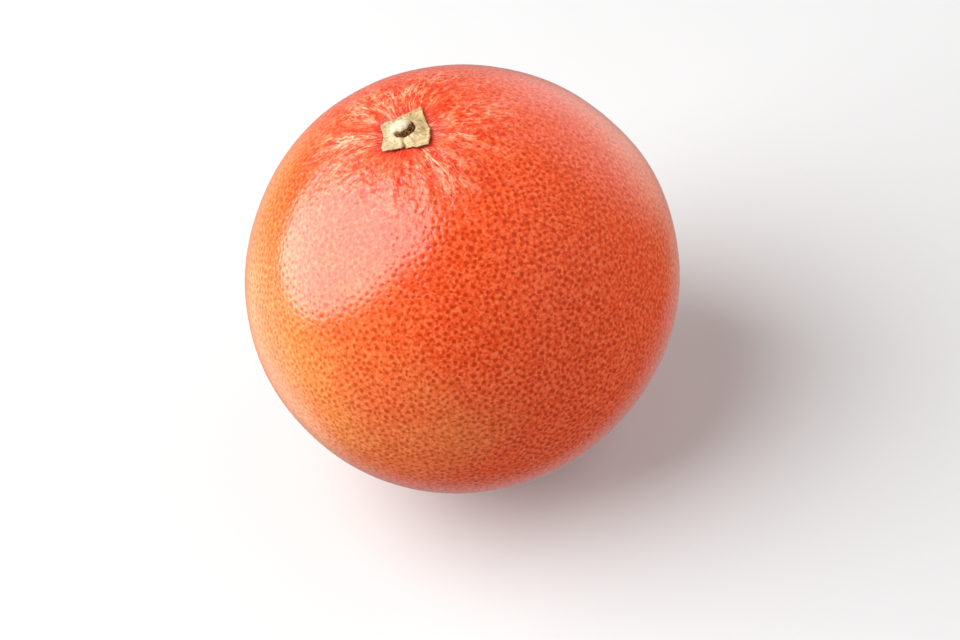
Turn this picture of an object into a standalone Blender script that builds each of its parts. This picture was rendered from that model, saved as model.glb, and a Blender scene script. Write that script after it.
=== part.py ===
"""A whole pomelo of the red grapefruit kind, standing on its blossom end.

Three solids: the fruit, the dried star-shaped calyx on its stem end, and the stub of the fruit stalk in the
calyx. Metres, +Z up the stalk's axis, origin at the centre of the small flat spot that the fruit stands on.
"""

from math import asin, atan2, cos, exp, pi, radians, sin, sqrt

import bmesh
import bpy

# Fruit
EQUATOR_DIAMETER = 0.105
BODY_HEIGHT = 0.1015  # pole to pole, before the stem end sinks and the blossom end flattens
REST_SPOT_DIAMETER = 0.016
STEM_HOLLOW_DEPTH = 0.0026
STEM_HOLLOW_WIDTH = 0.018
CROWN_START = 0.33  # share of the half height above which the stem end takes its full shape
FOLD_COUNT = 12  # shallow folds that run out from the stalk
FOLD_HEIGHT = 0.00022
FOLD_REACH = 0.012
FOLD_UNEVENNESS = 0.5  # share by which some folds stand higher than others
FOLD_UNEVENNESS_COUNT = 3
SWELL_HEIGHT = 0.0004  # how far the segments inside push the sides out
SWELL_COUNT = 3
SWELL_TURN = radians(50)

# Calyx: a thin star around a round collar. Each lobe is an angle about +Z and a length beyond the brim.
CALYX_LOBES = ((44, 0.0024), (138, 0.0018), (216, 0.0033), (296, 0.0042), (346, 0.0014))
BRIM_WIDTH = 0.0013  # from the collar to the notches between the lobes
LOBE_HALF_ANGLE = 40
LOBE_POINTEDNESS = 1.2  # 1 gives straight-sided lobes, more gives hollow-sided ones
CALYX_EDGE_THICKNESS = 0.0008
CALYX_COLLAR_HEIGHT = 0.0021
COLLAR_WALL = 0.0012
PIT_FLOOR_THICKNESS = 0.0008

# Stub of the stalk
STUB_DIAMETER = 0.0042
STUB_HEIGHT = 0.0020
STUB_TAPER = 0.0003  # how much smaller the top's radius is
STUB_TOP_ROUNDING = 0.0006
STUB_ROUNDING_STEPS = 3
PIT_PLAY = 0.0006  # room around the stub

CLEARANCE = 0.0003  # between pieces that rest on each other

# Fineness of the meshes
FRUIT_TURNS = 72
FRUIT_RINGS = 34
RING_CROWDING = 0.6  # 0 spaces the rings evenly, more draws them towards the stem
MERGE_DISTANCE = 1e-6
CALYX_TURNS = 72
STUB_TURNS = 24

EQUATOR_RADIUS = EQUATOR_DIAMETER / 2
HALF_HEIGHT = BODY_HEIGHT / 2
REST_SPOT_RADIUS = REST_SPOT_DIAMETER / 2
CENTRE_HEIGHT = HALF_HEIGHT * sqrt(1 - (REST_SPOT_RADIUS / EQUATOR_RADIUS) ** 2)
STUB_RADIUS = STUB_DIAMETER / 2
PIT_RADIUS = STUB_RADIUS + PIT_PLAY
COLLAR_RADIUS = PIT_RADIUS + COLLAR_WALL
BRIM_RADIUS = COLLAR_RADIUS + BRIM_WIDTH


def clear_scene():
    for obj in list(bpy.data.objects):
        bpy.data.objects.remove(obj)


def material(name, colour, roughness):
    """A plain Principled material."""
    made = bpy.data.materials.new(name)
    made.use_nodes = True
    shader = made.node_tree.nodes["Principled BSDF"]
    shader.inputs["Base Color"].default_value = (*colour, 1)
    shader.inputs["Roughness"].default_value = roughness
    shader.inputs["Metallic"].default_value = 0
    return made


def add_object(name, bm, finish):
    """The finished bmesh as a smooth-shaded object."""
    bmesh.ops.recalc_face_normals(bm, faces=bm.faces)
    mesh = bpy.data.meshes.new(name)
    bm.to_mesh(mesh)
    bm.free()
    mesh.shade_smooth()
    mesh.materials.append(finish)
    obj = bpy.data.objects.new(name, mesh)
    bpy.context.scene.collection.objects.link(obj)
    return obj


def turned(profile, turns):
    """A bmesh turned about Z from (radius, height) points that start and end on the axis."""
    bm = bmesh.new()
    verts = [bm.verts.new((radius, 0, height)) for radius, height in profile]
    edges = [bm.edges.new(pair) for pair in zip(verts, verts[1:])]
    bmesh.ops.spin(
        bm,
        geom=verts + edges,
        cent=(0, 0, 0),
        axis=(0, 0, 1),
        angle=2 * pi,
        steps=turns,
        use_merge=True,
    )
    bmesh.ops.remove_doubles(bm, verts=bm.verts, dist=MERGE_DISTANCE)
    return bm


def ease(share):
    """Runs smoothly from 0 to 1 as share does."""
    share = min(max(share, 0), 1)
    return share * share * (3 - 2 * share)


def fold(radius, azimuth):
    """How far a fold lifts the skin at this distance from the stalk, most at FOLD_REACH."""
    share = radius / FOLD_REACH
    uneven = 1 + FOLD_UNEVENNESS * cos(FOLD_UNEVENNESS_COUNT * azimuth)
    return FOLD_HEIGHT * uneven * share * exp(1 - share) * cos(FOLD_COUNT * azimuth)


def hollow(radius):
    """How far the stem end sinks."""
    return STEM_HOLLOW_DEPTH * exp(-((2 * radius / STEM_HOLLOW_WIDTH) ** 2))


def crown_height(x, y):
    """Height of the skin near the stalk, above the spot that the fruit stands on."""
    radius = sqrt(x * x + y * y)
    dome = HALF_HEIGHT * sqrt(1 - (radius / EQUATOR_RADIUS) ** 2)
    return CENTRE_HEIGHT + dome - hollow(radius) + fold(radius, atan2(y, x))


def build_fruit():
    """The fruit is an oblate body with a sunken stem end, turned in rings that lie closest at the stem."""
    foot_angle = pi - asin(REST_SPOT_RADIUS / EQUATOR_RADIUS)
    profile = []
    for ring in range(FRUIT_RINGS + 1):
        share = ring / FRUIT_RINGS
        polar = foot_angle * ((1 - RING_CROWDING) * share + RING_CROWDING * share * share)
        profile.append((EQUATOR_RADIUS * sin(polar), CENTRE_HEIGHT + HALF_HEIGHT * cos(polar)))
    bm = turned([*profile, (0, profile[-1][1])], FRUIT_TURNS)
    for vert in bm.verts:
        x, y, z = vert.co
        azimuth = atan2(y, x)
        up = (z - CENTRE_HEIGHT) / HALF_HEIGHT
        if up > 0:
            radius = sqrt(x * x + y * y)
            vert.co.z += ease(up / CROWN_START) * (fold(radius, azimuth) - hollow(radius))
        girth = max(0, 1 - up * up)
        swell = SWELL_HEIGHT * girth * cos(SWELL_COUNT * azimuth + SWELL_TURN)
        vert.co.x += swell * cos(azimuth)
        vert.co.y += swell * sin(azimuth)
    return add_object("fruit", bm, material("peel", (0.86, 0.25, 0.08), 0.42))


def lobe_reach(azimuth):
    """How far the calyx reaches in this direction: the brim's radius, or a pointed lobe."""
    reach = BRIM_RADIUS
    for angle, length in CALYX_LOBES:
        apart = abs((azimuth - radians(angle) + pi) % (2 * pi) - pi) / radians(LOBE_HALF_ANGLE)
        if apart < 1:
            reach = max(reach, BRIM_RADIUS + length * (1 - apart) ** LOBE_POINTEDNESS)
    return reach


def pit_floor_height():
    """The pit's floor is level and clears the highest skin under it, which lies along +X."""
    highest_skin = max(crown_height(0, 0), crown_height(PIT_RADIUS, 0))
    return highest_skin + CLEARANCE + PIT_FLOOR_THICKNESS


def build_calyx():
    """The calyx is a turned collar with a pit, pulled out into lobes and laid on the crown."""
    middle = (COLLAR_RADIUS + BRIM_RADIUS) / 2
    middle_height = (CALYX_EDGE_THICKNESS + CALYX_COLLAR_HEIGHT) / 2
    profile = [(0, 0), (PIT_RADIUS, 0), (COLLAR_RADIUS, 0), (middle, 0), (BRIM_RADIUS, 0)]
    profile += [(BRIM_RADIUS, CALYX_EDGE_THICKNESS), (middle, middle_height)]
    profile += [(COLLAR_RADIUS, CALYX_COLLAR_HEIGHT), (PIT_RADIUS, CALYX_COLLAR_HEIGHT)]
    profile += [(PIT_RADIUS, PIT_FLOOR_THICKNESS), (0, PIT_FLOOR_THICKNESS)]
    bm = turned(profile, CALYX_TURNS)
    in_wall = PIT_RADIUS + COLLAR_WALL / 2
    half_way_up_wall = (PIT_FLOOR_THICKNESS + CALYX_COLLAR_HEIGHT) / 2
    for vert in bm.verts:
        x, y, height = vert.co
        radius = sqrt(x * x + y * y)
        azimuth = atan2(y, x)
        on_pit_floor = radius < in_wall and 0 < height < half_way_up_wall
        if radius > COLLAR_RADIUS:
            share = (radius - COLLAR_RADIUS) / BRIM_WIDTH
            radius = COLLAR_RADIUS + share * (lobe_reach(azimuth) - COLLAR_RADIUS)
        vert.co.x = radius * cos(azimuth)
        vert.co.y = radius * sin(azimuth)
        if on_pit_floor:
            vert.co.z = pit_floor_height()
        else:
            vert.co.z = crown_height(vert.co.x, vert.co.y) + CLEARANCE + height
    return add_object("calyx", bm, material("calyx", (0.74, 0.60, 0.34), 0.7))


def build_stem_stub():
    """The stub stands in the calyx's pit, a little narrower at its rounded top."""
    bm = bmesh.new()
    bmesh.ops.create_cone(
        bm,
        cap_ends=True,
        segments=STUB_TURNS,
        radius1=STUB_RADIUS,
        radius2=STUB_RADIUS - STUB_TAPER,
        depth=STUB_HEIGHT,
    )
    rim = [e for e in bm.edges if all(v.co.z > 0 for v in e.verts)]
    bmesh.ops.bevel(
        bm,
        geom=rim,
        offset=STUB_TOP_ROUNDING,
        affect="EDGES",
        segments=STUB_ROUNDING_STEPS,
        profile=0.5,
        material=-1,
    )
    stub = add_object("stem_stub", bm, material("stalk", (0.80, 0.72, 0.55), 0.6))
    stub.location.z = pit_floor_height() + CLEARANCE + STUB_HEIGHT / 2
    return stub


clear_scene()
build_fruit()
build_calyx()
build_stem_stub()
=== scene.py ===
# %% [markdown]
# # A red grapefruit, sold as a pomelo
#
# The imported model gives a plain fruit, a plain star of a calyx and a plain stub of stalk. This lesson gives each
# of them its real surface: a waxy peel with thousands of oil glands, a woody calyx and a broken stalk. The
# imported model is loaded first, as the frame that everything is placed in.

# %% Load the frame
from math import atan2, cos, exp, pi, radians, sin, sqrt

import bmesh
import bpy
from mathutils import Matrix, Vector, noise
from mathutils.kdtree import KDTree


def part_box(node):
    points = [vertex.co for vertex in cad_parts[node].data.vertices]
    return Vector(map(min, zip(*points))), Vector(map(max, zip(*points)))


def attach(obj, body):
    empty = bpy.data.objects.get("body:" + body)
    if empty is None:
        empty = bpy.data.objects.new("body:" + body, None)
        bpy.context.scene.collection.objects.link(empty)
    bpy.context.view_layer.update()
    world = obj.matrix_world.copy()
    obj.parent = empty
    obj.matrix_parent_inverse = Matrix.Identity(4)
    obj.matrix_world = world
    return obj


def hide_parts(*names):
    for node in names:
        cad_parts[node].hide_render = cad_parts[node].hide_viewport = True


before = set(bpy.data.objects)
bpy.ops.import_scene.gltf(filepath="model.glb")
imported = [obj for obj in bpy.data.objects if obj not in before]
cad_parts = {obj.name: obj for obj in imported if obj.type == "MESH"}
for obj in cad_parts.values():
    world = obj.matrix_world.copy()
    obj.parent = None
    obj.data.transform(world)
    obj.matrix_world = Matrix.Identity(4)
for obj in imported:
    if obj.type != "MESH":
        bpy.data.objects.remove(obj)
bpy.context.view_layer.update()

print("nodes", sorted(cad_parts))

# %% [markdown]
# ## The fruit's outline
#
# A grapefruit is a slightly flattened ball. It stands on a small flat spot at the blossom end, and its stem end
# sinks a little, with shallow folds that run out from the stalk. All of that is one function from a direction
# to a point on the skin, so that the peel, the calyx and the stalk can all ask it where the skin is.

# %% Measure the fruit in the frame
fruit_low, fruit_high = (Vector(corner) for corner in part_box("fruit"))
EQUATOR_RADIUS = (fruit_high.x - fruit_low.x) / 2
HALF_HEIGHT = 0.0507
REST_SPOT_RADIUS = 0.008
CENTRE_HEIGHT = HALF_HEIGHT * sqrt(1 - (REST_SPOT_RADIUS / EQUATOR_RADIUS) ** 2)
MIDDLE = Vector((0, 0, CENTRE_HEIGHT))
print(f"equator {2000 * EQUATOR_RADIUS:.1f} mm, middle {1000 * CENTRE_HEIGHT:.1f} mm up")

# %% Say where the skin is
STEM_HOLLOW_DEPTH = 0.0026
STEM_HOLLOW_RADIUS = 0.009
FOLD_COUNT = 12
FOLD_HEIGHT = 0.00010
FOLD_REACH = 0.012
WRINKLE_HEIGHT = 0.00030
WRINKLE_REACH = 0.011
WRINKLE_TURNS = 6
WRINKLE_GRAIN = 90
BEAD_HEIGHT = 0.00012
BEAD_RING = 0.015
BEAD_GRAIN = 520
LUMP_HEIGHT = 0.0005
LUMP_GRAIN = 2.2
LUMP_PLACE = Vector((3, 1, 4))
SWELL_HEIGHT = 0.0004
SWELL_TURN = radians(50)
SCAR_RADIUS = 0.0024
SCAR_DEPTH = 0.0007


def ease(share):
    """Runs smoothly from 0 to 1 as share does."""
    share = min(max(share, 0), 1)
    return share * share * (3 - 2 * share)


def crown_relief(radius, azimuth):
    """How far the skin near the stalk stands above a plain dome: the hollow, its folds and fine wrinkles."""
    hollow = -STEM_HOLLOW_DEPTH * exp(-((radius / STEM_HOLLOW_RADIUS) ** 2))
    share = radius / FOLD_REACH
    fold = FOLD_HEIGHT * (1 + 0.5 * cos(3 * azimuth)) * share * exp(1 - share) * cos(FOLD_COUNT * azimuth)
    around = Vector((cos(azimuth), sin(azimuth), 0)) * WRINKLE_TURNS
    wrinkle = noise.noise(around + Vector((0, 0, radius * WRINKLE_GRAIN)))
    share = radius / WRINKLE_REACH
    wrinkle *= WRINKLE_HEIGHT * share * share * exp(2 - 2 * share)
    spot = Vector((radius * cos(azimuth), radius * sin(azimuth), 0))
    share = radius / BEAD_RING
    bead = BEAD_HEIGHT * noise.noise(spot * BEAD_GRAIN) * share ** 4 * exp(4 - 4 * share)
    return hollow + fold + wrinkle + bead


def skin(direction):
    """The point of the smooth skin that lies in this direction from the fruit's middle."""
    azimuth = atan2(direction.y, direction.x)
    radius = EQUATOR_RADIUS * sqrt(direction.x ** 2 + direction.y ** 2)
    height = HALF_HEIGHT * direction.z
    if direction.z > 0:
        height += ease(3 * direction.z) * crown_relief(radius, azimuth)
    lump = LUMP_HEIGHT * noise.noise(direction * LUMP_GRAIN + LUMP_PLACE)
    girth = 1 - direction.z ** 2
    radius += girth * (SWELL_HEIGHT * cos(3 * azimuth + SWELL_TURN) + lump)
    height = max(height, -CENTRE_HEIGHT)
    if direction.z < 0:
        height += SCAR_DEPTH * exp(-((radius / SCAR_RADIUS) ** 4))
    return MIDDLE + Vector((radius * cos(azimuth), radius * sin(azimuth), height))


print(f"stem hollow's floor {1000 * skin(Vector((0, 0, 1))).z:.1f} mm up")

# %% [markdown]
# ## The camera
#
# The camera looks down on the fruit from a little over forty degrees, with a long lens from across a table. It is
# rolled, so that the stalk leans to the left of the view. A camera could be turned by three Euler angles, but its
# three axes are easier to read: they are the columns of its matrix. The helper that puts it in the scene does the
# same for everything that follows.

# %% Make a helper that puts things in the scene


def put(name, data):
    """Adds an object that holds this data to the scene."""
    made = bpy.data.objects.new(name, data)
    bpy.context.scene.collection.objects.link(made)
    return made


# %% Place the camera
CAMERA_ELEVATION = radians(43.5)
CAMERA_ROLL = radians(20.5)
CAMERA_DISTANCE = 0.804
LENS = 125
AIM_RIGHT = 0.0045
AIM_UP = -0.0101

sight = Vector((0, cos(CAMERA_ELEVATION), -sin(CAMERA_ELEVATION)))
level_right = Vector((1, 0, 0))
level_up = level_right.cross(sight)
view_right = level_right * cos(CAMERA_ROLL) - level_up * sin(CAMERA_ROLL)
view_up = level_up * cos(CAMERA_ROLL) + level_right * sin(CAMERA_ROLL)

camera_data = bpy.data.cameras.new("camera")
camera_data.lens = LENS
camera = put("camera", camera_data)
aim = MIDDLE + view_right * AIM_RIGHT + view_up * AIM_UP
axes = Matrix((view_right, view_up, -sight)).transposed()
camera.matrix_world = Matrix.Translation(aim - sight * CAMERA_DISTANCE) @ axes.to_4x4()
bpy.context.scene.camera = camera
print("camera at", [round(value, 3) for value in camera.matrix_world.translation])

# %% [markdown]
# ## The floor
#
# The fruit stands on a plain pale table, big enough to fill the view. A glossy fruit mirrors such a table as a
# milky haze all along its lower edge. The floor could be made darker, but then its shadows would look heavy. So
# it stays pale, and is only hidden from glossy rays.

# %% Lay the floor
FLOOR_SIZE = 6.0
FLOOR_GREY = (0.52, 0.52, 0.52, 1)
FLOOR_GLOW = 0.14
FLOOR_ROUGHNESS = 0.7
FLOOR_SPECULAR = 0.2

floor_mesh = bpy.data.meshes.new("floor")
bm = bmesh.new()
bmesh.ops.create_grid(bm, x_segments=1, y_segments=1, size=FLOOR_SIZE / 2)
bm.to_mesh(floor_mesh)
bm.free()
floor = put("floor", floor_mesh)
floor.visible_glossy = False
floor_finish = bpy.data.materials.new("floor")
floor_finish.use_nodes = True
floor_shader = floor_finish.node_tree.nodes["Principled BSDF"]
floor_shader.inputs["Base Color"].default_value = FLOOR_GREY
floor_shader.inputs["Roughness"].default_value = FLOOR_ROUGHNESS
floor_shader.inputs["Emission Color"].default_value = (1, 1, 1, 1)
floor_shader.inputs["Emission Strength"].default_value = FLOOR_GLOW
floor_shader.inputs["Specular IOR Level"].default_value = FLOOR_SPECULAR
floor_mesh.materials.append(floor_finish)
print(f"floor {FLOOR_SIZE:.0f} m across")

# %% [markdown]
# ## The soft boxes
#
# The light is a soft studio one. A big oval box close by on the left makes the broad highlight on the peel. A
# wider one lights the right side from the front, and its mirror image would veil the reds, so it too is hidden
# from glossy rays. An area light's energy is shared out over its size, so a helper works it out from the glow.

# %% Set up the soft boxes


def in_view(right, up, towards):
    """A direction given by the camera's right, its up and the way back towards it."""
    return (view_right * right + view_up * up - sight * towards).normalized()


def soft_box(name, direction, upright, distance, width, height, glow):
    """An oval light that faces the fruit's middle, as bright as glow says."""
    data = bpy.data.lights.new(name, "AREA")
    data.shape = "ELLIPSE"
    data.size = width
    data.size_y = height
    data.energy = glow * pi * pi / 4 * width * height
    light = put(name, data)
    light.visible_camera = False
    across = upright.cross(direction).normalized()
    turn = Matrix((across, direction.cross(across), direction)).transposed()
    light.matrix_world = Matrix.Translation(MIDDLE + direction * distance) @ turn.to_4x4()
    print(f"{name}: {data.energy:.0f} W")
    return light


KEY_SIDE = in_view(-0.85, 0.365, 0.375)
KEY_UPRIGHT = in_view(0.125, 0.90, -0.42)
FILL_SIDE = in_view(0.88, 0.30, 0.36)

soft_box("key_light", KEY_SIDE, KEY_UPRIGHT, distance=0.90, width=1.76, height=1.10, glow=5.0)
fill = soft_box("fill_light", FILL_SIDE, view_up, distance=1.10, width=2.40, height=2.20, glow=1.25)
fill.visible_glossy = False

# %% [markdown]
# ## The room
#
# An even grey world would leave the fruit's edges flat. A real room has brighter parts: a backdrop, and windows to
# each side. A picture of a room could be wrapped around the scene, but here each bright part is a soft ramp
# on how close a direction is to its middle. The helpers that add the nodes are used again for the materials.

# %% Make helpers that add nodes


def add(tree, kind, inputs=None, **settings):
    """Adds a node, sets its settings, and fills its inputs with values or links."""
    made = tree.nodes.new(kind)
    for name, value in settings.items():
        setattr(made, name, value)
    for name, value in (inputs or {}).items():
        if isinstance(value, bpy.types.NodeSocket):
            tree.links.new(value, made.inputs[name])
        else:
            made.inputs[name].default_value = value
    return made


def ramp(tree, value, low, high, start=0.0, end=1.0):
    """Gives start below low, end above high, and a smooth run between."""
    wanted = {"Value": value, "From Min": low, "From Max": high, "To Min": start, "To Max": end}
    return add(tree, "ShaderNodeMapRange", wanted, interpolation_type="SMOOTHSTEP").outputs["Result"]


def sums(tree, operation, first, second):
    """Works out one value from two, by the operation's name."""
    return add(tree, "ShaderNodeMath", {0: first, 1: second}, operation=operation).outputs["Value"]


# %% Light the room
ROOM_GLOW = 0.13
BACKDROP_GLOW = 0.27
BACKDROP_EDGE = 0.66
BACKDROP_MIDDLE = 0.90
WINDOW_MIDDLE = 0.99
# Each window has a direction, the cosine at its edge, and a glow.
WINDOWS = (
    (in_view(0.42, 0.58, -0.70), 0.85, 0.42),
    (in_view(0.52, 0.70, -0.42), 0.76, 0.76),
    (in_view(-0.68, -0.24, -0.69), 0.88, 0.70),
)

world = bpy.data.worlds.new("room")
world.use_nodes = True
room = world.node_tree
facing = add(room, "ShaderNodeTexCoord").outputs["Generated"]
behind = add(room, "ShaderNodeVectorMath", {0: facing, 1: sight}, operation="DOT_PRODUCT").outputs["Value"]
glow = sums(room, "ADD", ramp(room, behind, BACKDROP_EDGE, BACKDROP_MIDDLE, 0, BACKDROP_GLOW), ROOM_GLOW)
for direction, edge, window_glow in WINDOWS:
    nearness = add(room, "ShaderNodeVectorMath", {0: facing, 1: direction}, operation="DOT_PRODUCT").outputs["Value"]
    glow = sums(room, "ADD", glow, ramp(room, nearness, edge, WINDOW_MIDDLE, 0, window_glow))
room.links.new(glow, room.nodes["Background"].inputs["Strength"])
room.nodes["Background"].inputs["Color"].default_value = (1, 1, 1, 1)
bpy.context.scene.world = world
bpy.context.scene.view_settings.view_transform = "Standard"
print(f"room with a backdrop and {len(WINDOWS)} windows")

# %% [markdown]
# ## The peel's shape
#
# A grapefruit's peel is packed with oil glands, and each one shows as a small dimple. A bump map could fake
# them, but real dimples also catch the light along the fruit's edge. So the mesh is built around them: one
# point for each gland, spread evenly over a ball and shaken a little, wrapped in a convex hull. Bevelling the
# points turns each into a small ring, and poking the rings gives each gland a middle that can be pressed in. The
# shaking noise starts from a time-based seed unless it is given one, so it is seeded first.

# %% Spread the glands over a ball
GLAND_COUNT = 11000
GLAND_SPACING = sqrt(4 * pi / GLAND_COUNT)
SHAKE = 0.9
SHAKE_GRAIN = 1000
GOLDEN_ANGLE = pi * (3 - sqrt(5))
SEED = 5

noise.seed_set(SEED)
peel = bmesh.new()
gland_mark = peel.verts.layers.float.new("gland")
ridge_mark = peel.verts.layers.float.new("ridge")
for index in range(GLAND_COUNT):
    height = 1 - (2 * index + 1) / GLAND_COUNT
    ring = sqrt(1 - height * height)
    spot = Vector((ring * cos(index * GOLDEN_ANGLE), ring * sin(index * GOLDEN_ANGLE), height))
    spot += noise.noise_vector(spot * SHAKE_GRAIN) * SHAKE * GLAND_SPACING
    peel.verts.new(spot.normalized())
bmesh.ops.convex_hull(peel, input=peel.verts)
left_out = [vert for vert in peel.verts if not vert.link_faces]
bmesh.ops.delete(peel, geom=left_out, context="VERTS")
bmesh.ops.smooth_vert(peel, verts=peel.verts, factor=0.5, use_axis_x=True, use_axis_y=True, use_axis_z=True)
for vert in peel.verts:
    vert.co.normalize()
print(f"{len(peel.verts)} glands, {len(peel.faces)} faces between them")

# %% Open a ring around each gland
RING_RADIUS = 0.00025
CHANCE_GRAIN = 900


def chance(point):
    """A number from 0 to 1 that seems random, but is always the same at the same point."""
    return 0.5 + 0.5 * noise.cell(point * CHANCE_GRAIN)


rings = bmesh.ops.bevel(
    peel,
    geom=peel.verts[:],
    offset=RING_RADIUS / EQUATOR_RADIUS,
    affect="VERTICES",
    segments=1,
    profile=0.5,
    material=-1,
)["faces"]
for vert in peel.verts:
    vert.co = skin(vert.co.normalized())
print(f"{len(rings)} rings, {len(peel.faces)} faces")

# %% Give each ring its own size, and stretch those near the stalk away from it
SMALLEST_GLAND = 0.00042
LARGEST_GLAND = 0.00082
CLOSEST = 0.47
STRETCH_REACH = 0.014
SHRINK = 0.45
STRETCH = 0.9

centres = KDTree(len(rings))
for index, ring in enumerate(rings):
    centres.insert(ring.calc_center_median(), index)
centres.balance()
for ring in rings:
    centre = ring.calc_center_median()
    neighbour_distance = centres.find_n(centre, 2)[1][2]
    wanted = SMALLEST_GLAND + (LARGEST_GLAND - SMALLEST_GLAND) * chance(centre)
    wanted = min(wanted, CLOSEST * neighbour_distance)
    away = Vector((centre.x, centre.y, 0))
    nearness = exp(-((away.length / STRETCH_REACH) ** 2)) if centre.z > MIDDLE.z else 0
    along = (away - ring.normal * away.dot(ring.normal)).normalized()
    for vert in ring.verts:
        arm = (vert.co - centre).normalized() * wanted * (1 - SHRINK * nearness)
        vert.co = centre + arm + along * arm.dot(along) * STRETCH * nearness
print(f"glands from {2000 * SMALLEST_GLAND:.2f} to {2000 * LARGEST_GLAND:.2f} mm")

# %% Press the glands in and raise the skin between them
GLAND_DEPTH = 0.00006
RIDGE_HEIGHT = 0.00003
BETWEEN_GLANDS = -0.5

ring_set = set(rings)
between = [face for face in peel.faces if face not in ring_set]
ridges = bmesh.ops.poke(peel, faces=between)["verts"]
middles = bmesh.ops.poke(peel, faces=rings)["verts"]
peel.normal_update()
for vert in middles:
    own_share = 0.5 + 0.5 * chance(vert.co)
    vert.co -= vert.normal * GLAND_DEPTH * own_share
    vert[gland_mark] = own_share
for vert in ridges:
    vert.co += vert.normal * RIDGE_HEIGHT
    vert[ridge_mark] = 1
    vert[gland_mark] = BETWEEN_GLANDS
for vert in peel.verts:
    vert.co.z = max(vert.co.z, 0)
bmesh.ops.recalc_face_normals(peel, faces=peel.faces)

peel_mesh = bpy.data.meshes.new("peel")
peel.to_mesh(peel_mesh)
print(f"{len(peel.verts)} points, {len(peel.faces)} triangles")
peel.free()
peel_mesh.shade_smooth()
peel_piece = put("peel", peel_mesh)
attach(peel_piece, "root")
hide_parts("fruit")

# %% [markdown]
# ## The peel's colours
#
# The fruit is orange on one side and blushes red on the other, and each oil gland is darker than the skin around it.
# A painted image would have to be wrapped around a ball, with a seam. Object coordinates need no wrapping: the
# blush follows the direction from the fruit's middle, and noise makes its edge uneven. The dots follow the marks
# that the mesh carries, so each one lies in its own dimple, and a fine grain makes their edges ragged.

# %% Make helpers for colours and grain


def grain(tree, place, scale, detail=3.0, roughness=0.5):
    """A noise of this many lumps a metre."""
    wanted = {"Vector": place, "Scale": scale, "Detail": detail, "Roughness": roughness}
    return add(tree, "ShaderNodeTexNoise", wanted).outputs["Fac"]


def tint(tree, share, first, second):
    """The first colour, with this share of the second."""
    return add(tree, "ShaderNodeMix", {0: share, 6: first, 7: second}, data_type="RGBA").outputs[2]


def finish(name):
    """A new material with its tree, its shader and its object coordinates."""
    made = bpy.data.materials.new(name)
    made.use_nodes = True
    tree = made.node_tree
    place = tree.nodes.new("ShaderNodeTexCoord").outputs["Object"]
    return made, tree, tree.nodes["Principled BSDF"], place


# %% Colour the peel
ORANGE = (0.80, 0.235, 0.055, 1)
ORANGE_RIDGE = (0.88, 0.33, 0.105, 1)
ORANGE_GLAND = (0.56, 0.125, 0.018, 1)
BLUSH = (0.81, 0.072, 0.011, 1)
BLUSH_RIDGE = (0.90, 0.175, 0.060, 1)
BLUSH_GLAND = (0.50, 0.034, 0.004, 1)
BLUSH_SIDE = Vector((0.80, -0.25, 0.54))
FAR_SIDE = Vector((0.95, 0.28, -0.09))
MOTTLE_GRAIN = 45
FINE_GRAIN = 1500
NET_GRAIN = 1250
PORE_GRAIN = 760

peel_finish, tree, shader, place = finish("peel")
outward = add(tree, "ShaderNodeVectorMath", {0: place, 1: MIDDLE}, operation="SUBTRACT").outputs["Vector"]
outward = add(tree, "ShaderNodeVectorMath", {0: outward}, operation="NORMALIZE").outputs["Vector"]
side = add(tree, "ShaderNodeVectorMath", {0: outward, 1: BLUSH_SIDE}, operation="DOT_PRODUCT").outputs["Value"]
mottle = grain(tree, place, MOTTLE_GRAIN, 3)
side = sums(tree, "ADD", side, sums(tree, "MULTIPLY", sums(tree, "SUBTRACT", mottle, 0.5), 0.9))
lift = add(tree, "ShaderNodeSeparateXYZ", {0: outward}).outputs["Z"]
side = sums(tree, "ADD", side, ramp(tree, lift, -0.70, 0.10, 0.9, 0.0))
side = ramp(tree, side, -0.6, 0.4)
far = add(tree, "ShaderNodeVectorMath", {0: outward, 1: FAR_SIDE}, operation="DOT_PRODUCT").outputs["Value"]
side = sums(tree, "MULTIPLY", side, ramp(tree, far, 0.58, 0.85, 1, 0.65))
fine = sums(tree, "SUBTRACT", grain(tree, place, FINE_GRAIN, 3, 0.6), 0.5)
gland = add(tree, "ShaderNodeAttribute", attribute_name="gland").outputs["Fac"]
ridge = add(tree, "ShaderNodeAttribute", attribute_name="ridge").outputs["Fac"]
ragged_gland = sums(tree, "ADD", gland, sums(tree, "MULTIPLY", fine, 1.8))
net = sums(tree, "SUBTRACT", grain(tree, place, NET_GRAIN, 2, 0.5), 0.5)
ragged_ridge = sums(tree, "ADD", sums(tree, "MULTIPLY", ridge, 0.3), sums(tree, "MULTIPLY", net, 3.2))
skin_colour = tint(tree, side, ORANGE, BLUSH)
ridge_colour = tint(tree, side, ORANGE_RIDGE, BLUSH_RIDGE)
gland_colour = tint(tree, side, ORANGE_GLAND, BLUSH_GLAND)
colour = tint(tree, ramp(tree, ragged_ridge, -0.2, 0.9, 0, 1.0), skin_colour, ridge_colour)
colour = tint(tree, ramp(tree, net, -0.15, -0.04, 0.45, 0), colour, gland_colour)
dots = sums(tree, "MULTIPLY", ramp(tree, ragged_gland, 0.0, 0.36, 0, 0.95), ramp(tree, far, 0.1, 0.7, 1, 0.6))
colour = tint(tree, dots, colour, gland_colour)
pore_distance = add(tree, "ShaderNodeTexVoronoi", {"Vector": place, "Scale": PORE_GRAIN}).outputs["Distance"]
pore = ramp(tree, sums(tree, "ADD", pore_distance, sums(tree, "MULTIPLY", fine, 0.8)), 0.10, 0.34, 0.6, 0)
pore = sums(tree, "MULTIPLY", pore, ramp(tree, side, 0.3, 0.8, 1, 0.3))
colour = tint(tree, pore, colour, gland_colour)
print(f"peel colours: {len(tree.nodes)} nodes")
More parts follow.
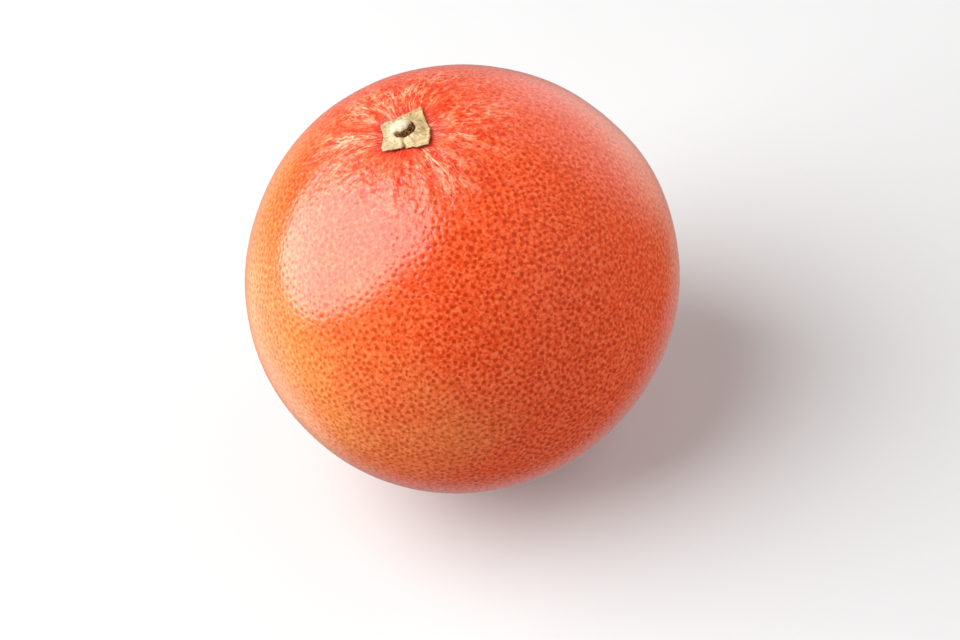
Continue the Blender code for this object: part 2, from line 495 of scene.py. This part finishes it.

# %% [markdown]
# ## The streaks around the stalk
#
# As the fruit swells, its skin stretches most near the stalk, and is left with pale corky lines and red and pink
# patches that run outwards. They could be drawn one by one. A noise is quicker, if it is read by the direction
# around the stalk and the distance from it, because its lumps then stretch outwards. A thin line is drawn
# wherever the noise crosses its middle value, and it wanders and forks as real streaks do. A deep red ring around
# the calyx is painted shadow, and pale and deep red specks in the crumpled skin are a painted highlight and shade.

# %% Make helpers for streaks
CREAM = (0.98, 0.50, 0.28, 1)
DEEP_RED = (0.62, 0.030, 0.012, 1)

flat = add(tree, "ShaderNodeVectorMath", {0: place, 1: (1, 1, 0)}, operation="MULTIPLY").outputs["Vector"]
radius = add(tree, "ShaderNodeVectorMath", {0: flat}, operation="LENGTH").outputs["Value"]
around = add(tree, "ShaderNodeVectorMath", {0: flat}, operation="NORMALIZE").outputs["Vector"]
crown = ramp(tree, lift, 0.3, 0.6)


def spokes(tree, turns, per_metre):
    """Where to read a pattern that runs out from the stalk: so many lumps in a turn, and so many a metre."""
    spread = add(tree, "ShaderNodeVectorMath", {0: around, "Scale": turns / (2 * pi)}, operation="SCALE")
    along = add(tree, "ShaderNodeCombineXYZ", {"Z": sums(tree, "MULTIPLY", radius, per_metre)})
    both = add(tree, "ShaderNodeVectorMath", {0: spread.outputs[0], 1: along.outputs[0]}, operation="ADD")
    return both.outputs["Vector"]


def lines(tree, value, width):
    """Thin lines, where a noise crosses its middle."""
    off_middle = sums(tree, "ABSOLUTE", sums(tree, "SUBTRACT", value, 0.5), 0.0)
    return ramp(tree, off_middle, 0.0, width, 1, 0)


# %% Say on which sides of the stalk the streaks grow
# Each side has an angle in degrees, and the cosines where its streaks start and where they are full.
STREAK_SIDES = ((346, 0.86, 0.97), (62, 0.90, 0.99), (108, 0.86, 0.97), (165, 0.90, 0.98), (287, 0.985, 0.998))

streak_side = 0.0
for degrees, low, high in STREAK_SIDES:
    toward = (cos(radians(degrees)), sin(radians(degrees)), 0)
    nearness = add(tree, "ShaderNodeVectorMath", {0: around, 1: toward}, operation="DOT_PRODUCT").outputs["Value"]
    streak_side = sums(tree, "MAXIMUM", ramp(tree, nearness, low, high), streak_side)

# %% Draw the streaks
PALE_PINK = (0.90, 0.27, 0.14, 1)
CRUMPLE_GRAIN = 620

reach = sums(tree, "MULTIPLY", ramp(tree, radius, 0.030, 0.012), crown)
patches = ramp(tree, grain(tree, spokes(tree, 16, 120), 1, 2), 0.40, 0.54)
broad = lines(tree, grain(tree, spokes(tree, 56, 120), 1, 2.5), 0.036)
narrow = lines(tree, grain(tree, spokes(tree, 96, 190), 1, 2), 0.030)
streak = sums(tree, "MAXIMUM", broad, sums(tree, "MULTIPLY", narrow, 0.8))
streak = sums(tree, "MULTIPLY", streak, sums(tree, "MULTIPLY", patches, reach))
streak = sums(tree, "MULTIPLY", streak, sums(tree, "ADD", sums(tree, "MULTIPLY", streak_side, 0.8), 0.2))
deep = sums(tree, "MULTIPLY", ramp(tree, grain(tree, spokes(tree, 64, 330), 1, 3), 0.48, 0.62), reach)
pink = sums(tree, "MULTIPLY", ramp(tree, grain(tree, spokes(tree, 64, 330), 1, 3), 0.48, 0.38), reach)
pink = sums(tree, "MULTIPLY", pink, sums(tree, "ADD", sums(tree, "MULTIPLY", streak_side, 0.6), 0.35))
# Painted shadow: a deep red ring on the skin around the calyx, where the calyx's shade falls.
painted_shadow_by_calyx = sums(tree, "MULTIPLY", ramp(tree, radius, 0.0110, 0.0072, 0, 0.8), crown)
colour = tint(tree, sums(tree, "MULTIPLY", deep, 0.7), colour, DEEP_RED)
colour = tint(tree, sums(tree, "MULTIPLY", pink, 0.8), colour, PALE_PINK)
colour = tint(tree, painted_shadow_by_calyx, colour, DEEP_RED)
# Painted highlight and shade: pale specks where the crumpled skin's beads would catch the light, deep red ones where
# they would not.
bead_light_zone = sums(tree, "MULTIPLY", ramp(tree, radius, 0.010, 0.016), ramp(tree, radius, 0.032, 0.020))
bead_light_zone = sums(tree, "MULTIPLY", bead_light_zone, crown)
beads = grain(tree, place, CRUMPLE_GRAIN, 3, 0.55)
painted_bead_shade = sums(tree, "MULTIPLY", ramp(tree, beads, 0.43, 0.36), bead_light_zone)
painted_bead_highlight = sums(tree, "MULTIPLY", ramp(tree, beads, 0.56, 0.66), bead_light_zone)
colour = tint(tree, sums(tree, "MULTIPLY", painted_bead_shade, 0.75), colour, DEEP_RED)
colour = tint(tree, sums(tree, "MULTIPLY", painted_bead_highlight, 0.45), colour, PALE_PINK)
colour = tint(tree, streak, colour, CREAM)
print(f"with the streaks: {len(tree.nodes)} nodes")

# %% [markdown]
# ## The blossom end
#
# The flower leaves a small brown scar, in the middle of the flat spot that the fruit stands on. It is seldom
# seen, but a reusable fruit may be turned over. Its colour needs only the distance from the axis, and the shape
# already has a shallow dent for it.

# %% Brown the scar at the blossom end
SCAR_BROWN = (0.20, 0.085, 0.025, 1)
SCAR_HALO = (0.66, 0.30, 0.07, 1)

under = ramp(tree, lift, -0.85, -0.95)
ragged_radius = sums(tree, "ADD", radius, sums(tree, "MULTIPLY", fine, 0.002))
halo = sums(tree, "MULTIPLY", ramp(tree, ragged_radius, 0.0065, 0.0035, 0, 0.6), under)
scar = sums(tree, "MULTIPLY", ramp(tree, ragged_radius, 0.0030, 0.0022, 0, 0.95), under)
colour = tint(tree, halo, colour, SCAR_HALO)
colour = tint(tree, scar, colour, SCAR_BROWN)
print(f"with the scar: {len(tree.nodes)} nodes")

# %% [markdown]
# ## Gloss and grain
#
# The peel has a natural wax, so it shines like a satin varnish. The mesh already holds the glands, and the bump
# adds what is finer: the grain between them, small beads near the stalk, and streaks that stand a little
# proud. Roughness and specular level are the same all over, so they are set on the shader itself.

# %% Give the peel its gloss and grain
PEEL_ROUGHNESS = 0.17
PEEL_SPECULAR = 0.6
PEEL_BUMP = 0.00006
PEEL_BUMP_STRENGTH = 0.8
GLAND_BUMP = 0.5
NET_BUMP = 0.9
BEAD_BUMP = 9.0
STREAK_BUMP = 1.5
PATCH_BUMP = 1.6

tree.links.new(colour, shader.inputs["Base Color"])
shader.inputs["Roughness"].default_value = PEEL_ROUGHNESS
shader.inputs["Specular IOR Level"].default_value = PEEL_SPECULAR
off_gland = ramp(tree, gland, 0.0, 0.7, 1, 0)
relief = sums(tree, "ADD", sums(tree, "MULTIPLY", off_gland, GLAND_BUMP), sums(tree, "MULTIPLY", net, NET_BUMP))
crumple = sums(tree, "MULTIPLY", ramp(tree, radius, 0.004, 0.012), ramp(tree, radius, 0.034, 0.018))
crumple = sums(tree, "MULTIPLY", crumple, crown)
beads = sums(tree, "SUBTRACT", beads, 0.5)
relief = sums(tree, "ADD", relief, sums(tree, "MULTIPLY", sums(tree, "MULTIPLY", beads, crumple), BEAD_BUMP))
relief = sums(tree, "ADD", relief, sums(tree, "MULTIPLY", streak, STREAK_BUMP))
relief = sums(tree, "ADD", relief, sums(tree, "MULTIPLY", sums(tree, "SUBTRACT", pink, deep), PATCH_BUMP))
bump = add(tree, "ShaderNodeBump", {"Height": relief, "Distance": PEEL_BUMP, "Strength": PEEL_BUMP_STRENGTH})
tree.links.new(bump.outputs["Normal"], shader.inputs["Normal"])
peel_mesh.materials.append(peel_finish)
print(f"whole peel finish: {len(tree.nodes)} nodes")

# %% [markdown]
# ## The calyx
#
# The calyx is what is left of the flower's green cup: a dry, woody star with four blunt corners, a raised
# collar in its middle and a pit that holds the stalk. It could be sculpted by hand. Here a profile is spun into
# a closed disc, and its rim is then pulled out to the star's outline, which is written down as a list
# of angles and reaches. The same skin function that shaped the peel tells it how to lie on the crown.

# %% Find the skin under the calyx


def crown_height(radius, azimuth):
    """How high the skin is at this distance from the stalk's axis."""
    reach = min(radius / EQUATOR_RADIUS, 1)
    return skin(Vector((reach * cos(azimuth), reach * sin(azimuth), sqrt(1 - reach * reach)))).z


print(f"skin {1000 * crown_height(0, 0):.1f} mm up under the calyx")

# %% Write down the star's outline
MILLIMETRE = 0.001
EDGE_NICKS = 0.22
# Angles in degrees, and how far the rim reaches there in millimetres.
STAR_OUTLINE = (
    (9, 5.0), (35, 6.1), (49, 7.9), (57, 6.8), (67, 6.2), (81, 5.8), (103, 5.4), (114, 5.7), (127, 6.5),
    (137, 6.9), (146, 6.3), (156, 5.7), (174, 5.4), (190, 6.1), (203, 7.2), (213, 8.0), (222, 6.9), (233, 5.9),
    (244, 5.8), (250, 4.3), (256, 5.8), (266, 6.1), (279, 7.1), (288, 7.4), (297, 8.5), (304, 7.6), (321, 6.4),
    (346, 5.4), (369, 5.0),
)


def star_radius(azimuth):
    """How far the star reaches at this angle about the axis."""
    degrees = (azimuth * 180 / pi - 9) % 360 + 9
    for (start, near), (end, far) in zip(STAR_OUTLINE, STAR_OUTLINE[1:]):
        if degrees <= end:
            nick = EDGE_NICKS * noise.noise(Vector((cos(azimuth), sin(azimuth), 0)) * 14)
            return (near + (far - near) * (degrees - start) / (end - start) + nick) * MILLIMETRE
    return STAR_OUTLINE[0][1] * MILLIMETRE


print(f"star reaches {max(reach for degrees, reach in STAR_OUTLINE):.1f} mm at its longest corner")

# %% Make a helper that spins a profile
TOUCHING = 1e-6


def spin_profile(solid, profile, steps):
    """Spins radii and heights, given in millimetres, all the way round the axis, and closes the seam and poles."""
    points = [solid.verts.new((radius * MILLIMETRE, 0, height * MILLIMETRE)) for radius, height in profile]
    for first, second in zip(points, points[1:]):
        solid.edges.new((first, second))
    bmesh.ops.spin(
        solid,
        geom=solid.verts[:] + solid.edges[:],
        cent=(0, 0, 0),
        axis=(0, 0, 1),
        dvec=(0, 0, 0),
        angle=2 * pi,
        steps=steps,
        use_merge=True,
    )
    bmesh.ops.remove_doubles(solid, verts=solid.verts, dist=TOUCHING)


# %% Spin the calyx's profile
COLLAR = 0.0040
BRIM = 0.0060
CALYX_STEPS = 240
# Radii and heights in millimetres, from the middle of the underside to the middle of the pit.
CALYX_PROFILE = (
    (0.0, -0.10), (1.6, -0.10), (3.0, -0.10), (4.0, -0.08), (4.6, -0.05), (5.1, 0.02), (5.5, 0.10), (5.8, 0.18),
    (5.94, 0.26), (6.0, 0.40), (5.97, 0.56), (5.90, 0.66), (5.75, 0.72), (5.5, 0.74), (5.2, 0.76), (4.9, 0.80),
    (4.6, 0.88), (4.3, 1.00), (4.0, 1.16), (3.7, 1.32), (3.4, 1.46), (3.1, 1.54), (2.9, 1.56), (2.75, 1.50),
    (2.64, 1.36), (2.56, 1.10), (2.52, 0.80), (2.48, 0.55), (2.3, 0.42), (1.6, 0.38), (0.0, 0.38),
)

calyx = bmesh.new()
pit_shade_mark = calyx.verts.layers.float.new("pit")
spin_profile(calyx, CALYX_PROFILE, CALYX_STEPS)
print(f"calyx: {len(calyx.faces)} faces")

# %% Pull the rim out into a star and lay it on the skin
PIT_SHIFT = Vector((-0.00030, 0.00042, 0))
RIM_LIFT = 0.00022
TIP_LIFT = 0.00030
RIM_SWAY = 0.00012
RIM_DIP = 0.00030
DIP_SIDE = radians(216)
NOTCH = radians(250)
CRACK_WIDTH = radians(4)
CRACK_DEPTH = 0.00045
COLLAR_SWAY = 0.00040
BLISTER_HEIGHT = 0.00012
BLISTER_GRAIN = 900
PIMPLE_HEIGHT = 0.00006
PIMPLE_GRAIN = 2600
RIM_NICK = 0.00010
NICK_GRAIN = 1500
NICK_PLACE = Vector((5, 5, 5))

for vert in calyx.verts:
    radius = sqrt(vert.co.x ** 2 + vert.co.y ** 2)
    azimuth = atan2(vert.co.y, vert.co.x)
    height = vert.co.z
    top = ease((height - 0.0002) / 0.0004)
    if radius > COLLAR:
        share = (radius - COLLAR) / (BRIM - COLLAR)
        star = star_radius(azimuth)
        radius = COLLAR + share * (star - COLLAR)
        tip = (star - 0.0052) / 0.003
        sway = RIM_SWAY * share * noise.noise(Vector((cos(azimuth), sin(azimuth), 0)) * 5)
        height += share * share * (RIM_LIFT + TIP_LIFT * tip) + sway
        height -= RIM_DIP * top * share * (1 - share) * 4 * max(0, cos(4.5 * (azimuth - DIP_SIDE)))
    off_notch = (azimuth - NOTCH + pi) % (2 * pi) - pi
    crack = exp(-((off_notch / CRACK_WIDTH) ** 2)) * ease((radius - 0.0030) / 0.0012)
    height -= CRACK_DEPTH * crack * top
    # The pit's wall and the crack are marked for painted shade, dark where the light would not reach.
    in_pit = ease((0.00282 - radius) / 0.0003) * ease((height - 0.0001) / 0.0003)
    vert[pit_shade_mark] = max(in_pit, crack * ease((radius - 0.0040) / 0.0008))
    spot = Vector((radius * cos(azimuth), radius * sin(azimuth), height))
    on_collar = ease((height - 0.0008) / 0.0006)
    height += COLLAR_SWAY * on_collar * noise.noise(Vector((cos(azimuth), sin(azimuth), 2)) * 1.7)
    blister = BLISTER_HEIGHT * noise.noise(spot * BLISTER_GRAIN)
    height += top * (blister + PIMPLE_HEIGHT * noise.noise(spot * PIMPLE_GRAIN))
    radius += top * RIM_NICK * noise.noise(spot * NICK_GRAIN + NICK_PLACE)
    vert.co = Vector((radius * cos(azimuth), radius * sin(azimuth), crown_height(radius, azimuth) + height))
    vert.co += PIT_SHIFT * (1 - ease((radius - 0.0028) / 0.0020))
bmesh.ops.recalc_face_normals(calyx, faces=calyx.faces)
calyx_mesh = bpy.data.meshes.new("calyx_star")
calyx.to_mesh(calyx_mesh)
calyx.free()
calyx_mesh.shade_smooth()
calyx_piece = put("calyx_star", calyx_mesh)
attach(calyx_piece, "root")
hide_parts("calyx")
print(f"calyx {1000 * calyx_piece.dimensions.x:.1f} by {1000 * calyx_piece.dimensions.y:.1f} mm")

# %% [markdown]
# ## The calyx's finish
#
# It is dry and corky, cream and tan in patches, and freckled. Three noises of
# different sizes give the tan patches, the greenish ones and the freckles. The tan is also pushed to the right
# side as painted shade, on the side turned from the light. The pit and the crack are marked on the
# mesh, so that their dark brown, a painted shade, stays in them.

# %% Colour the calyx
CALYX_CREAM = (0.62, 0.49, 0.285, 1)
CALYX_TAN = (0.46, 0.32, 0.145, 1)
CALYX_GREEN = (0.60, 0.50, 0.22, 1)
SPECK = (0.26, 0.12, 0.035, 1)
PIT_SHADE_BROWN = (0.16, 0.055, 0.014, 1)
TAN_AND_SHADE_SIDE = (30, 14, 0)
CALYX_ROUGHNESS = 0.62
CALYX_SPECULAR = 0.35
CALYX_BUMP = 0.00016
CALYX_BUMP_STRENGTH = 0.7
TAN_GRAIN = 750
GREEN_GRAIN = 900
SPECK_GRAIN = 2600
PIT_GRAIN = 1800
CORK_GRAIN = 2200

calyx_finish, tree, shader, place = finish("calyx")
pit = add(tree, "ShaderNodeAttribute", attribute_name="pit").outputs["Fac"]
# Partly painted shade: the noise gives real tan patches, and the lean to the right darkens the side turned from the
# light.
tan_and_shade_to_right = add(tree, "ShaderNodeVectorMath", {0: place, 1: TAN_AND_SHADE_SIDE}, operation="DOT_PRODUCT").outputs["Value"]
tan_and_shade_share = ramp(tree, sums(tree, "ADD", grain(tree, place, TAN_GRAIN, 4, 0.6), tan_and_shade_to_right), 0.40, 0.62)
flesh = tint(tree, tan_and_shade_share, CALYX_CREAM, CALYX_TAN)
flesh = tint(tree, ramp(tree, grain(tree, place, GREEN_GRAIN, 2), 0.55, 0.70, 0, 0.6), flesh, CALYX_GREEN)
specks = ramp(tree, grain(tree, place, SPECK_GRAIN, 3, 0.6), 0.53, 0.63, 0, 0.75)
flesh = tint(tree, specks, flesh, SPECK)
# Painted shade: dark brown in the pit and the crack.
ragged_pit_shade = sums(tree, "ADD", pit, sums(tree, "SUBTRACT", grain(tree, place, PIT_GRAIN, 2), 0.5))
flesh = tint(tree, ramp(tree, ragged_pit_shade, 0.4, 0.7), flesh, PIT_SHADE_BROWN)
tree.links.new(flesh, shader.inputs["Base Color"])
shader.inputs["Roughness"].default_value = CALYX_ROUGHNESS
shader.inputs["Specular IOR Level"].default_value = CALYX_SPECULAR
cork = grain(tree, place, CORK_GRAIN, 4, 0.65)
bump = add(tree, "ShaderNodeBump", {"Height": cork, "Distance": CALYX_BUMP, "Strength": CALYX_BUMP_STRENGTH})
tree.links.new(bump.outputs["Normal"], shader.inputs["Normal"])
calyx_mesh.materials.append(calyx_finish)
print(f"calyx finish: {len(tree.nodes)} nodes")

# %% [markdown]
# ## The broken stalk
#
# The fruit was torn from its stalk, so a short stub is left in the calyx, smooth and pale on top and torn on one
# side. A cylinder with a rounded end would look turned on a lathe. So a profile is spun as for the calyx, and
# then leant over, and its torn side is cut back unevenly.

# %% Shape the stalk's end
STALK_LEAN = radians(128)
BREAK_SIDE = radians(287)
LEAN_SHIFT = 0.0009
BREAK_DEPTH = 0.0011
BREAK_INSET = 0.30
KNOB_HEIGHT = 0.00008
KNOB_GRAIN = 1400
STALK_STEPS = 96
PIT_FLOOR = crown_height(0, 0) + 0.0004
# Radii and heights in millimetres, from the middle of the underside to the top.
STALK_PROFILE = (
    (0.0, 0.00), (1.7, 0.00), (2.0, 0.05), (2.15, 0.25), (2.25, 0.55), (2.38, 0.85), (2.52, 1.10), (2.60, 1.35),
    (2.60, 1.58), (2.50, 1.80), (2.31, 1.99), (2.03, 2.15), (1.68, 2.28), (1.28, 2.38), (0.85, 2.44), (0.42, 2.48),
    (0.0, 2.49),
)

stalk = bmesh.new()
bark_mark = stalk.verts.layers.float.new("bark")
spin_profile(stalk, STALK_PROFILE, STALK_STEPS)
lean = Vector((cos(STALK_LEAN), sin(STALK_LEAN), 0))
for vert in stalk.verts:
    azimuth = atan2(vert.co.y, vert.co.x)
    radius = sqrt(vert.co.x ** 2 + vert.co.y ** 2)
    away = cos(azimuth - BREAK_SIDE)
    broken = ease((away - 0.05) / 0.5) * ease((radius - 0.0016) / 0.0008)
    jag = 0.5 + 0.5 * noise.noise(Vector((cos(azimuth), sin(azimuth), 0)) * 9)
    tall = ease(vert.co.z / 0.0012)
    vert.co.z -= broken * tall * BREAK_DEPTH * (0.4 + 0.9 * jag)
    vert.co.x *= 1 - BREAK_INSET * broken * jag
    vert.co.y *= 1 - BREAK_INSET * broken * jag
    vert.co.z += KNOB_HEIGHT * tall * noise.noise(vert.co * KNOB_GRAIN)
    vert.co += lean * (LEAN_SHIFT * tall) + PIT_SHIFT + Vector((0, 0, PIT_FLOOR))
    vert[bark_mark] = broken
print(f"stalk: {len(stalk.faces)} faces")

# %% [markdown]
# ## The torn fibres
#
# Woody fibres stand up where the stalk tore. Each is a thin six-sided cone, which is plenty for something half a
# millimetre wide. Their lengths and tilts come from the helper that sized the glands, so they are the
# same each time.

# %% Add the torn fibres
FIBRE_COUNT = 26
FIBRE_FAN = radians(110)
FIBRE_TILT = radians(50)
FIBRE_SHORTEST = 0.0010
FIBRE_EXTRA = 0.0009
FIBRE_FOOT_RADIUS = 0.00026
FIBRE_TIP_RADIUS = 0.00006
FIBRE_SIDES = 6
FIBRE_RING = 0.0021
RING_SCATTER = 0.0003
SUNK = 0.0001

for index in range(FIBRE_COUNT):
    azimuth = BREAK_SIDE + FIBRE_FAN * (2 * index / (FIBRE_COUNT - 1) - 1)
    spot = Vector((cos(azimuth), sin(azimuth), index))
    length = FIBRE_SHORTEST + FIBRE_EXTRA * chance(spot)
    foot = Vector((cos(azimuth), sin(azimuth), 0)) * (FIBRE_RING + RING_SCATTER * (chance(spot * 3) - 0.5))
    foot += PIT_SHIFT + Vector((0, 0, PIT_FLOOR + length / 2 - SUNK))
    hinge = spot.cross(Vector((0, 0, 1))).normalized()
    tilt = Matrix.Rotation(FIBRE_TILT * (chance(spot * 5) - 0.5), 4, hinge)
    made = bmesh.ops.create_cone(
        stalk,
        cap_ends=True,
        segments=FIBRE_SIDES,
        radius1=FIBRE_FOOT_RADIUS,
        radius2=FIBRE_TIP_RADIUS,
        depth=length,
        matrix=Matrix.Translation(foot) @ tilt,
    )
    for vert in made["verts"]:
        vert[bark_mark] = 0.7 + 0.5 * (chance(spot * 7) - 0.3)
bmesh.ops.recalc_face_normals(stalk, faces=stalk.faces)
stalk_mesh = bpy.data.meshes.new("stalk_end")
stalk.to_mesh(stalk_mesh)
print(f"stalk with {FIBRE_COUNT} fibres: {len(stalk.faces)} faces")
stalk.free()
stalk_mesh.shade_smooth()
stalk_piece = put("stalk_end", stalk_mesh)
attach(stalk_piece, "root")
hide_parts("stem_stub")

# %% [markdown]
# ## The stalk's finish
#
# The stub is bone-coloured wood with a few freckles, and the torn side is brown. The mesh carries how torn each point
# is, and noise makes the edge between the two ragged.

# %% Colour the stalk
STALK_PALE = (0.66, 0.59, 0.44, 1)
STALK_CREAM = (0.54, 0.42, 0.24, 1)
FIBRE_BROWN = (0.42, 0.19, 0.055, 1)
FIBRE_DARK = (0.09, 0.028, 0.008, 1)
STALK_ROUGHNESS = 0.5
STALK_SPECULAR = 0.4
STALK_BUMP = 0.00012
STALK_BUMP_STRENGTH = 0.6
CREAM_GRAIN = 1300
FRECKLE_GRAIN = 3500
BARK_GRAIN = 2500
FIBRE_GRAIN = 2200
KNOT_GRAIN = 2600

stalk_finish, tree, shader, place = finish("stalk")
bark = add(tree, "ShaderNodeAttribute", attribute_name="bark").outputs["Fac"]
wood = tint(tree, ramp(tree, grain(tree, place, CREAM_GRAIN, 3), 0.42, 0.62), STALK_PALE, STALK_CREAM)
wood = tint(tree, ramp(tree, grain(tree, place, FRECKLE_GRAIN, 2), 0.62, 0.72, 0, 0.6), wood, SPECK)
uneven = sums(tree, "SUBTRACT", grain(tree, place, BARK_GRAIN, 2), 0.5)
ragged_bark = sums(tree, "ADD", bark, sums(tree, "MULTIPLY", uneven, 0.9))
fibre = tint(tree, ramp(tree, grain(tree, place, FIBRE_GRAIN, 2), 0.42, 0.58), FIBRE_BROWN, FIBRE_DARK)
wood = tint(tree, ramp(tree, ragged_bark, 0.25, 0.55), wood, fibre)
tree.links.new(wood, shader.inputs["Base Color"])
shader.inputs["Roughness"].default_value = STALK_ROUGHNESS
shader.inputs["Specular IOR Level"].default_value = STALK_SPECULAR
knots = grain(tree, place, KNOT_GRAIN, 4, 0.6)
bump = add(tree, "ShaderNodeBump", {"Height": knots, "Distance": STALK_BUMP, "Strength": STALK_BUMP_STRENGTH})
tree.links.new(bump.outputs["Normal"], shader.inputs["Normal"])
stalk_mesh.materials.append(stalk_finish)
print(f"stalk finish: {len(tree.nodes)} nodes")
